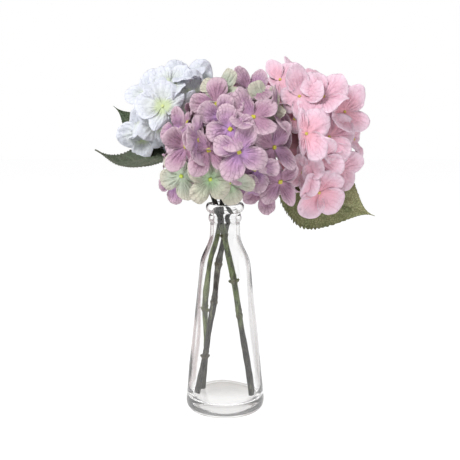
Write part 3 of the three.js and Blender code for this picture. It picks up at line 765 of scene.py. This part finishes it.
def make_bottle(look):
    """The turned bottle. It casts no shadow, and light that bounces off rough surfaces passes it."""
    outside, inside = bottle_outside(), bottle_inside()
    profile = [*((r, z, WAVE_PHASES[0]) for r, z in outside), *((r, z, WAVE_PHASES[1]) for r, z in inside)]
    angles = 2 * np.pi * np.arange(BOTTLE_SIDES) / BOTTLE_SIDES
    rings = []
    for radius, height, phase in profile[1:-1]:
        swell = radius + wall_wave(radius, height, angles, phase)
        level = np.full(BOTTLE_SIDES, height)
        rings.append(np.stack([swell * np.cos(angles), swell * np.sin(angles), level], 1))
    faces = grid_faces(len(rings), BOTTLE_SIDES, closed=True)
    shape = Shape()
    last = len(rings) * BOTTLE_SIDES
    points = np.concatenate([*rings, [(0, 0, 0)], [(0, 0, FLOOR_Z)]])
    for i in range(BOTTLE_SIDES):
        after = (i + 1) % BOTTLE_SIDES
        faces.append((last, after, i))
        faces.append((last + 1, last - BOTTLE_SIDES + i, last - BOTTLE_SIDES + after))
    shape.add(points, faces)
    bottle = shape.piece("clear_bottle", look, "glass", ["glass_bottle"])
    bottle.visible_shadow = False
    bottle.visible_diffuse = False


# ------------ stems


def neck_way(head):
    stem = next(s for s in STEMS if s["head"] is head)
    return unit(vec(stem["route"][-1]) - vec(head["centre"]))


def stem_route(stem):
    x, y, _ = stem["route"][0]
    head = stem["head"]
    reach = head["core"] + NECK_LENGTH + GAP
    end = vec(head["centre"]) + neck_way(head) * reach
    return Route([(x, y, FLOOR_Z + GAP + FOOT_TILT), *stem["route"][1:], end])


def stem_radius(stem, u, random):
    """The stem's radius up its length: slim, a little uneven, with a swelling at each node."""
    radius = STEM_RADIUS - 0.1 + 0.3 * (1 - smooth(0, 0.5, u)) - 0.2 * smooth(0.65, 0.75, u)
    radius = radius + 0.12 * np.sin(41 * u + 6 * random) + 0.08 * np.sin(97 * u + 11 * random)
    knob = np.zeros_like(u)
    for node in stem["nodes"]:
        knob += np.exp(-(((u - node) / (0.5 * NODE_SPAN)) ** 2))
        knob += 0.5 * np.exp(-(((u - node - 1.2 * NODE_SPAN) / (0.35 * NODE_SPAN)) ** 2))
    return radius + (NODE_RADIUS - STEM_RADIUS) * np.minimum(knob, 1), np.minimum(knob, 1)


def add_buds(shape, stem, route, draws):
    """Small cut side buds at the nodes, on opposite sides."""
    for number, node in enumerate(stem["nodes"]):
        middle = route.at(route.share_at(node))
        way = route.tangent(route.share_at(node))
        across, along = sides_of(way)
        start = 2 * math.pi * next(draws)
        for turn in (0, math.pi):
            angle = start + turn + 0.5 * number
            out = math.cos(angle) * across + math.sin(angle) * along
            tip = middle + out * (NODE_RADIUS + 1.2) + way * 1.4
            points = [middle + out * 1.2, middle + out * NODE_RADIUS + way * 0.5, tip]
            add_tube(shape, points, BUD_RADII, 12, stem=(node, 0.7, 0))


def make_stem(stem, look):
    route = stem_route(stem)
    draws = stream(stem["head"]["seed"] + 5)
    u = np.linspace(0, 1, STEM_ROWS)
    points = [route.at(route.share_at(x)) for x in u]
    radii, knob = stem_radius(stem, u, next(draws))
    shape = Shape()
    numbers = np.repeat(np.stack([u, knob, 0 * u], 1), STEM_SIDES, axis=0)
    add_tube(shape, points, radii, STEM_SIDES, stem=numbers)
    add_buds(shape, stem, route, draws)
    shape.piece(stem["name"] + "_stem", look, "stem", ["stem_" + stem["name"]])


# ------------ leaves


def leaf_width(t):
    return np.sin(np.pi * t**0.72) ** (0.55 + 1.6 * t)


def leaf_point(leaf, route, t, across):
    """A point of the leaf's plain sheet, across from -1 to 1."""
    side = unit(vec(leaf["side"]))
    face = unit(np.cross(route.tangent(t), side))
    reach = leaf["half"] * leaf_width(t)
    return route.at(t) + side * reach * across + face * leaf["fold"] * reach * abs(across)


def leaf_sheet(leaf):
    """The points of the solid's sheet, which the florets keep off."""
    route = Route(leaf["midrib"])
    points = []
    for row in range(1, LEAF_ROWS):
        tooth = 1 + TOOTH if row % 2 else 1 - TOOTH
        points += [leaf_point(leaf, route, row / LEAF_ROWS, across) for across in (-tooth, 0, tooth)]
    return [*points, route.at(0.01), route.at(1)]


def make_leaf(leaf, look):
    """Fine rows with a saw-toothed edge, quilted between the veins."""
    route = Route(leaf["midrib"])
    side = unit(vec(leaf["side"]))
    rows, columns = LEAF_GRID
    points, numbers = [], []
    for t in np.linspace(0.006, 0.997, rows):
        face = unit(np.cross(route.tangent(t), side))
        saw = (t * LEAF_TEETH + 0.35 * math.sin(23 * t)) % 1
        depth = SAW_DEPTH * (0.75 + 0.45 * math.sin(61 * t))
        depth = depth * smooth(0, 0.06, t) * (1 - 0.6 * smooth(0.85, 1, t))
        tooth = 1 + depth * (1.8 * saw**0.7 - 1) + 0.02 * math.sin(17 * t)
        for across in np.linspace(-1, 1, columns):
            wide = across * tooth
            fan = (t * LEAF_VEINS - 1.6 * abs(across) ** 1.2 + 0.25 * (across > 0)) % 1
            rib = math.exp(-((min(fan, 1 - fan) / 0.07) ** 2)) * (1 - 0.6 * abs(across))
            rib = max(rib, math.exp(-((across / 0.035) ** 2)))
            quilt = math.sin(math.pi * fan) * (1 - abs(across)) * min(1, 6 * abs(across))
            wave = 0.05 * math.sin(9 * t + 2 * across) * abs(across) ** 2 * leaf["half"] * leaf_width(t)
            rise = 0.9 * quilt - 0.5 * rib * (abs(across) < 0.05) + wave
            rise += TOOTH_CURL * (saw - 0.5) * abs(across) ** 6
            points.append(leaf_point(leaf, route, t, wide) + face * rise)
            numbers.append((across, t, rib))
    shape = Shape()
    shape.add(points, grid_faces(rows, columns), leaf=np.array(numbers))
    shape.piece(leaf["name"] + "_leaf", look, "leaf", [leaf["node"]], LEAF_THICK)


def make_leaf_stalk(leaf, look):
    """The leaf's stalk, which runs on as a raised midrib under the blade."""
    side = unit(vec(leaf["side"]))
    rib = Route(leaf["midrib"])
    face = unit(np.cross(rib.tangent(0.3), side))
    blade = [rib.at(t) - 0.5 * face for t in np.linspace(0.12, 0.9, 16)]
    route = Route([vec(leaf["stalk"]), vec(leaf["midrib"][0]), *blade])
    radii = np.interp(np.linspace(0, 1, MIDRIB_STEPS + 1), (0, 0.25, 0.5, 1), MIDRIB_RADII)
    shape = Shape()
    add_tube(shape, route.spaced(MIDRIB_STEPS), radii, 10)
    shape.piece(leaf["name"] + "_leaf_stalk", look, "leaf")


# ------------ florets


def head_planes(head):
    planes = []
    for pair in PRESSED:
        if head["name"] in pair["heads"]:
            sign = 1 if pair["heads"][0] == head["name"] else -1
            planes.append((vec(pair["point"]), unit(vec(pair["way"])) * sign))
    return planes


def make_floret(head, way, details, draws, planes, radius):
    twelve = [next(draws) for _ in range(12)]
    turn, reach, cup, lift, aim = (*details, None)[:5]
    wobble = (vec(twelve[:3]) - 0.5) * (LISTED_WOBBLE if aim else WOBBLE)
    facing = unit((unit(vec(aim)) if aim else way) + wobble)
    right, up = sides_of(facing)
    return {
        "centre": vec(head["centre"]) + way * (radius + lift),
        "root": way,
        "facing": facing,
        "right": right,
        "up": up,
        "turn": turn,
        "reach": reach,
        "lobe": head["lobe"],
        "wide": head["wide"],
        "flex": head["flex"],
        "cup": cup,
        "tilts": [TILT * (d - 0.5) for d in twelve[4:8]],
        "lengths": [PETAL_STRAY[0] + PETAL_STRAY[1] * d for d in twelve[8:12]],
        "planes": planes,
        "edge": -(PLANE_MARGIN[0] + PLANE_MARGIN[1] * twelve[3]),
    }


def listed_way(head, right, up):
    off = math.hypot(right, up)
    across = min(off / head["radius"], 1)
    scale = 1 if across < 1 else head["radius"] / off
    return unit(vec((right * scale / head["radius"], -math.sqrt(1 - across**2), up * scale / head["radius"])))


def spiral_way(i, places):
    height = 1 - (2 * i + 1) / places
    round_ = math.sqrt(1 - height * height)
    return vec((round_ * math.cos(GOLDEN_ANGLE * i), round_ * math.sin(GOLDEN_ANGLE * i), height))


def is_free(head, spot, way, taken, planes, keep_off):
    if math.acos(np.clip(np.dot(way, neck_way(head)), -1, 1)) < NECK_ANGLE:
        return False
    if any(np.dot(normal, spot - point) > -FILL_MARGIN for point, normal in planes):
        return False
    if any(np.linalg.norm(f["centre"] - spot) < head["spacing"] for f in taken):
        return False
    return bool(np.all(np.linalg.norm(keep_off - spot, axis=1) > KEEP_OFF))


def head_florets(head, keep_off):
    """The same florets as the solid's, from the same draws."""
    draws = stream(head["seed"])
    planes = head_planes(head)
    florets = []
    for right, up, *details in head["listed"]:
        way = listed_way(head, right, up)
        florets.append(make_floret(head, way, details, draws, planes, head["radius"]))
    for i in range(SPIRAL):
        way = spiral_way(i, SPIRAL)
        spot = vec(head["centre"]) + way * head["radius"]
        if not is_free(head, spot, way, florets, planes, keep_off):
            continue
        details = [90 * next(draws), 21 + 4 * next(draws), 0.15 + 0.35 * next(draws), 4 * next(draws) - 2]
        florets.append(make_floret(head, way, details, draws, planes, head["radius"]))
    return florets


def inner_florets(head):
    """Smaller florets under the outer ones, which close the gaps between them."""
    draws = stream(head["seed"] + 77)
    planes = head_planes(head)
    radius = head["radius"] * INNER_SHARE
    florets = []
    for i in range(INNER_PLACES):
        way = spiral_way(i, INNER_PLACES)
        spot = vec(head["centre"]) + way * radius
        if np.dot(way, neck_way(head)) > math.cos(INNER_NECK):
            continue
        if any(np.dot(normal, spot - point) > -INNER_MARGIN for point, normal in planes):
            continue
        details = [90 * next(draws), INNER_REACH + 3 * next(draws), 0.3 + 0.3 * next(draws), 0]
        florets.append(make_floret(head, way, details, draws, planes, radius))
    return florets


def pressed(floret, points):
    """Bends points back where they come near a neighbouring head."""
    for origin, normal in floret["planes"]:
        depth = (points - origin) @ normal
        start = floret["edge"] - SQUASH_DEPTH
        bent = start + SQUASH_DEPTH * (1 - np.exp(-np.maximum(depth - start, 0) / SQUASH_DEPTH))
        points = points + np.where(depth > start, bent - depth, 0)[..., None] * normal
    return points


def cloth_points(floret, petal, degrees, share, relief):
    """Places on a petal, at angles off its middle line and shares of its reach, raised by a relief."""
    angle = np.radians(floret["turn"] + 90 * petal + degrees)
    middle = np.cos(np.radians(2 * np.clip(np.abs(degrees), 0, 45))) ** 2
    flat = floret["reach"] * share * floret["lengths"][petal] ** middle
    lift = floret["cup"] * share**1.5 * (0.35 + 0.65 * middle)
    height = floret["reach"] * (lift + floret["tilts"][petal] * share * middle - 0.12 * share**4)
    keep = flat / np.hypot(flat, height)
    across = (flat * keep * np.cos(angle))[..., None] * floret["right"]
    along = (flat * keep * np.sin(angle))[..., None] * floret["up"]
    points = floret["centre"] + across + along + (height * keep + relief)[..., None] * floret["facing"]
    return pressed(floret, points)


def petal_edge(lobe, degrees):
    """The share of its reach at which a round petal ends, at angles off its middle line."""
    middle, radius = lobe
    angle = np.radians(degrees)
    return middle * np.cos(angle) + np.sqrt(np.maximum(radius**2 - (middle * np.sin(angle)) ** 2, 0))


def petal_relief(across, along, share, side, floret, draws):
    """A petal's own shape: pressed creases, crumpled cloth, a twist, a fold and a ruffled, curled rim."""
    phases = [2 * math.pi * next(draws) for _ in range(9)]
    twist, fold, curl, flex = next(draws) - 0.5, next(draws) - 0.35, next(draws) - 0.55, next(draws) - 0.4
    reach, flex = floret["reach"], flex * floret["flex"]
    wide = across * share
    fan = np.sin(11 * across + 3 * np.sin(phases[6]) * along + phases[0])
    fan = fan + 0.8 * np.sin(18 * across + 5 * np.sin(phases[7]) * along + phases[1])
    fan = fan + 0.5 * np.sin(6 * across - 8 * along + phases[8])
    pleats = (0.7 - np.abs(fan)) * CREASE_DEPTH * smooth(0.12, 0.4, share) * (1 - 0.5 * smooth(0.8, 1, along))
    crumple = np.sin(9 * wide + 6 * share + phases[2]) * np.sin(8 * share - 5 * wide + phases[3])
    crumple = crumple + 0.6 * np.sin(17 * share + 11 * wide + phases[4]) * np.sin(14 * wide + phases[5])
    ruffle = np.sin(2.8 * across + phases[4]) + 0.45 * np.sin(6.5 * across + phases[5])
    channel = -CHANNEL_DEPTH * np.exp(-((across / 0.18) ** 2)) * smooth(0.1, 0.3, share) * (1 - 0.7 * share)
    bend = reach * share * (0.34 * twist * across + 0.3 * fold * (np.abs(across) - 0.35) + flex * share)
    rim = RUFFLE * share**2 * ruffle + CURL * curl * share**5
    overlap = side * (0.3 + 0.6 * smooth(0.35, 1, np.abs(across)) * smooth(0.05, 0.5, share))
    cloth = (CRUMPLE * crumple + bend) * smooth(0.1, 0.5, share)
    return pleats + cloth + channel + rim + overlap


def add_floret(shape, floret, draws):
    """One floret: four round petals cut from one cloth, two of them over the other two."""
    lobe = floret["lobe"]
    limit = math.degrees(math.asin(min(lobe[1] / lobe[0], 1)))
    steps = np.linspace(-1, 1, PETAL_COLUMNS)
    along = np.linspace(0.05, 1, PETAL_ROWS)
    tone = next(draws)
    for petal in range(PETALS):
        wide = floret["wide"] + 0.22 * next(draws)
        degrees = limit * np.sin(steps * math.pi / 2)
        first, second = 6 * next(draws), 6 * next(draws)
        wave = 1 + 0.03 * np.sin(3 * steps + first) + 0.015 * np.sin(11 * steps + second)
        edge = petal_edge(lobe, degrees) * wave
        grid_along, grid_across = np.meshgrid(along, steps, indexing="ij")
        share = grid_along * edge[None, :]
        side = 1 if petal % 2 else -1
        relief = petal_relief(grid_across, grid_along, share, side, floret, draws)
        points = cloth_points(floret, petal, np.broadcast_to(degrees * wide, share.shape), share, relief)
        rim = np.maximum(grid_along, np.abs(grid_across) ** 6)
        petal_numbers = np.stack([share, rim, np.full_like(share, next(draws))], -1).reshape(-1, 3)
        floret_numbers = np.stack([grid_across, grid_along, np.full_like(share, tone)], -1).reshape(-1, 3)
        shape.add(points, grid_faces(PETAL_ROWS, PETAL_COLUMNS), petal=petal_numbers, floret=floret_numbers)


def add_peg(shape, floret, size):
    """The square peg that pins a floret, domed, with a shallow dip in the middle of its dome."""
    heart = pressed(floret, floret["centre"])
    turn = math.radians(floret["turn"])
    angles = 2 * math.pi * np.arange(PEG_SIDES) / PEG_SIDES
    spread = np.abs(np.cos(angles)) ** SQUARENESS + np.abs(np.sin(angles)) ** SQUARENESS
    square = 1 / spread ** (1 / SQUARENESS)
    rings = []
    flat = turned(angles + turn, floret["right"], floret["up"])
    for grow, height in PEG_PROFILE:
        radius = PEG_RADIUS * size * grow * square
        rings.append(heart + flat * radius[:, None] + floret["facing"] * height * PEG_HEIGHT * size)
    add_rings(shape, rings)


def add_stalk(shape, head, floret):
    """The thin stalk from the core to a floret's back, with a small cup under the cloth."""
    heart = pressed(floret, floret["centre"])
    centre = vec(head["centre"])
    root = centre + (heart - centre) * (head["core"] - ROOT_DEPTH) / head["radius"]
    back = heart - floret["facing"] * STALK_STRAIGHT
    middle = (root + back) / 2
    route = Route([root, middle, back, heart - floret["facing"] * 0.4])
    radii = np.interp(np.linspace(0, 1, STALK_STEPS + 1), (0, 0.8, 0.9, 1), STALK_RADII)
    add_tube(shape, route.spaced(STALK_STEPS), radii, STALK_SIDES)


def make_core(head, look):
    """The knobbly core that the stalks grow from, with its neck."""
    way = neck_way(head)
    centre = vec(head["centre"])
    around = 2 * math.pi * np.arange(CORE_SIDES) / CORE_SIDES
    flat = turned(around, *sides_of(way))
    rings = []
    for i in range(1, CORE_ROWS):
        angle = math.pi * i / CORE_ROWS
        lumps = 1 + CORE_LUMP * np.sin(9 * around + 5 * angle) * np.sin(8 * angle)
        radius = head["core"] * lumps
        middle = centre - way * math.cos(angle) * head["core"]
        rings.append(middle + flat * (radius * math.sin(angle))[:, None])
    shape = Shape()
    add_rings(shape, rings)
    neck = [centre + way * (head["core"] * 0.8 + NECK_LENGTH * t * 1.45) for t in np.linspace(0, 1, 9)]
    end = head["core"] + NECK_LENGTH
    neck = [centre + way * min(np.dot(p - centre, way), end) for p in neck]
    radii = np.interp(np.linspace(0, 1, 9), (0, 0.3, 1), (NECK_RADII[0] + 3, NECK_RADII[0], NECK_RADII[1]))
    add_tube(shape, neck, radii, 20)
    shape.piece(head["name"] + "_core", look, "stalk")


def make_head(head, keep_off, looks):
    florets = head_florets(head, keep_off)
    for number, move in head.get("moved", {}).items():
        florets[number]["centre"] = florets[number]["centre"] + vec(move)
    inner = inner_florets(head)
    draws = stream(head["seed"] + 11)
    cloth, pale, pegs, pale_pegs, stalks = Shape(), Shape(), Shape(), Shape(), Shape()
    for number, floret in enumerate([*florets, *inner]):
        is_pale = number in head["pale"]
        add_floret(pale if is_pale else cloth, floret, draws)
        add_peg(pale_pegs if is_pale else pegs, floret, head["peg"] * (PALE_PEG if is_pale else 1))
        add_stalk(stalks, head, floret)
    name = head["name"]
    cloth.piece(name + "_florets", looks[name], name + "_petals", [head["node"]], CLOTH)
    if head["pale"]:
        pale.piece(name + "_pale_florets", looks["pale"], "pale_petals", (), CLOTH)
        pale_pegs.piece(name + "_pale_pegs", looks["pale_peg"], "peg")
    pegs.piece(name + "_pegs", looks[name + "_peg"], "peg")
    stalks.piece(name + "_stalks", looks["stalk"], "stalk")
    make_core(head, looks[name + "_core"])


# ------------ floor, light and camera


def make_floor():
    mesh = bpy.data.meshes.new("floor")
    corners = [(x * FLOOR_HALF, y * FLOOR_HALF, 0) for x, y in ((-1, -1), (1, -1), (1, 1), (-1, 1))]
    mesh.from_pydata(corners, [], [(0, 1, 2, 3)])
    look = Look("pale_floor")
    colour = look.mix(look.noise(3.0), rgb(152, 152, 152), rgb(149, 149, 150))
    look.set({"Base Color": colour, "Roughness": 1.0, "Specular IOR Level": 0.0,
              "Emission Color": (1, 1, 1, 1), "Emission Strength": FLOOR_GLOW})
    mesh.materials.append(look.material)
    floor = add_object("floor", mesh)
    floor.location.z = -FLOOR_DROP


def area_light(name, place, size, power):
    light = bpy.data.lights.new(name, "AREA")
    light.shape = "SQUARE"
    light.size = size
    light.energy = power
    lamp = add_object(name, light)
    lamp.location = place
    way = Vector(LIT_POINT) - Vector(place)
    lamp.rotation_euler = way.to_track_quat("-Z", "Y").to_euler()
    lamp.visible_glossy = False
    lamp.visible_transmission = False


def make_light():
    """A white surround, dimmer as light, with grey cards that the glass picks up, and two soft lamps."""
    world = bpy.data.worlds.new("studio")
    bpy.context.scene.world = world
    world.use_nodes = True
    sky = Nodes(world.node_tree)
    path = sky.node("LightPath").outputs
    way = sky.node("SeparateXYZ", {0: sky.node("TexCoord").outputs["Generated"]}).outputs
    cards = sky.node("ValToRGB", {0: sky.math("ADD", sky.times(way[0], 0.5), 0.5)})
    stops = cards.color_ramp.elements
    for number, (place, *card) in enumerate(CARDS):
        stop = stops[number] if number < 2 else stops.new(1.0)
        stop.position = 0.5 + 0.5 * place
        stop.color = (*card, 1)
    fade = sky.times(sky.math("ABSOLUTE", way[2]), CARD_FADE)
    level = sky.math("SUBTRACT", 1.0, fade, clamp=True)
    first = sky.math("LESS_THAN", path["Diffuse Depth"], 0.5)
    through = sky.times(sky.math("SUBTRACT", 1.0, path["Is Camera Ray"]), first)
    seen = sky.math("MAXIMUM", path["Is Camera Ray"], path["Is Transmission Ray"])
    strength = {0: sky.times(seen, first), 3: SURROUND_LIGHT, 4: SURROUND_SEEN}
    colour = sky.mix(sky.times(level, through), (1, 1, 1, 1), cards.outputs[0])
    background = world.node_tree.nodes["Background"]
    sky.put(background.inputs[0], colour)
    sky.put(background.inputs[1], sky.node("MapRange", strength).outputs[0])
    for name, lamp in LAMPS.items():
        area_light(name, *lamp)
    bpy.context.scene.view_settings.view_transform = "Standard"


def make_camera():
    data = bpy.data.cameras.new("camera")
    data.sensor_width = SENSOR_MM
    data.lens = SENSOR_MM * FOCAL_PX / FRAME_PX
    camera = add_object("camera", data)
    camera.location = [c * MM for c in CAMERA_AT]
    camera.rotation_euler = (math.radians(90 - CAMERA_PITCH), 0, 0)
    bpy.context.scene.camera = camera


# ------------ the whole


def make_looks(make, ending, rows):
    """Looks by name, from rows in which each colour is a triple."""
    return {
        name: make(name + ending, *[rgb(*value) if isinstance(value, tuple) else value for value in row])
        for name, row in rows.items()
    }


# Each stem row: foot, body and painted shade colours, and the shares up the stem where the body and the
# painted shade begin.
STEM_LOOKS = make_looks(stem_look, "_stem_plastic", {
    "white": ((46, 42, 34), (84, 98, 52), (38, 36, 33), 0.27, 0.66),
    "mauve": ((62, 58, 42), (90, 102, 52), (38, 36, 33), 0.18, 0.77),
    "pink": ((44, 40, 34), (92, 92, 86), (38, 36, 34), 0.42, 0.63),
})
LEAF_LOOKS = make_looks(leaf_look, "_leaf_cloth", {
    "left": ((118, 130, 112), (132, 136, 122), (150, 160, 135)),
    "left_back": ((104, 120, 98), (118, 130, 106), (140, 150, 122)),
    "right": ((166, 170, 126), (180, 178, 136), (196, 194, 154)),
})
# Each cloth row: heart, inner, outer, rim and second colours, the painted shade in the vein creases, and how
# strong that shade and the creases' bump are.
LOOKS = make_looks(cloth_look, "_cloth", {
    "white": ((210, 222, 182), (226, 230, 229), (224, 227, 236),
              (233, 235, 243), (218, 222, 233), (220, 223, 232), 0.35),
    "mauve": ((194, 152, 206), (198, 158, 192), (202, 164, 190),
              (222, 198, 208), (188, 146, 170), (192, 164, 186), 0.6),
    "pink": ((244, 182, 196), (246, 196, 212), (244, 202, 220),
              (242, 222, 234), (238, 196, 212), (232, 194, 208), 0.35),
    "pale": ((190, 216, 176), (204, 210, 188), (206, 204, 186),
              (216, 210, 196), (198, 206, 190), (206, 198, 188), 0.5),
})
LOOKS |= make_looks(plain_look, "_plastic", {
    "mauve_peg": ((196, 186, 62), (180, 176, 66), 0.5, 900.0),
    "pale_peg": ((206, 222, 92), (190, 212, 90), 0.5, 900.0),
    "pink_peg": ((204, 184, 84), (196, 176, 90), 0.5, 900.0),
    "white_peg": ((206, 216, 140), (200, 212, 150), 0.5, 900.0),
    "stalk": ((156, 166, 104), (140, 150, 90), 0.5, 300.0),
    "white_core": ((150, 170, 120), (170, 184, 140), 0.6, 120.0),
    # The mauve and pink cores are real hubs, coloured like the shade in the gaps between their florets:
    # painted shade.
    "mauve_core": ((120, 88, 96), (110, 100, 70), 0.6, 120.0),
    "pink_core": ((186, 120, 140), (160, 108, 116), 0.6, 120.0),
})

make_camera()
make_floor()
make_light()
make_bottle(glass_look())
for stem in STEMS:
    make_stem(stem, STEM_LOOKS[stem["name"]])
for leaf in LEAVES:
    make_leaf(leaf, LEAF_LOOKS[leaf["name"]])
    make_leaf_stalk(leaf, LEAF_LOOKS[leaf["name"]])

keep_off = np.array([
    *[point for stem in STEMS for point in stem_route(stem).spaced(60)],
    *[point for leaf in LEAVES for point in leaf_sheet(leaf)],
])
for head in (WHITE, MAUVE, PINK):
    make_head(head, keep_off, LOOKS)

bpy.context.view_layer.update()
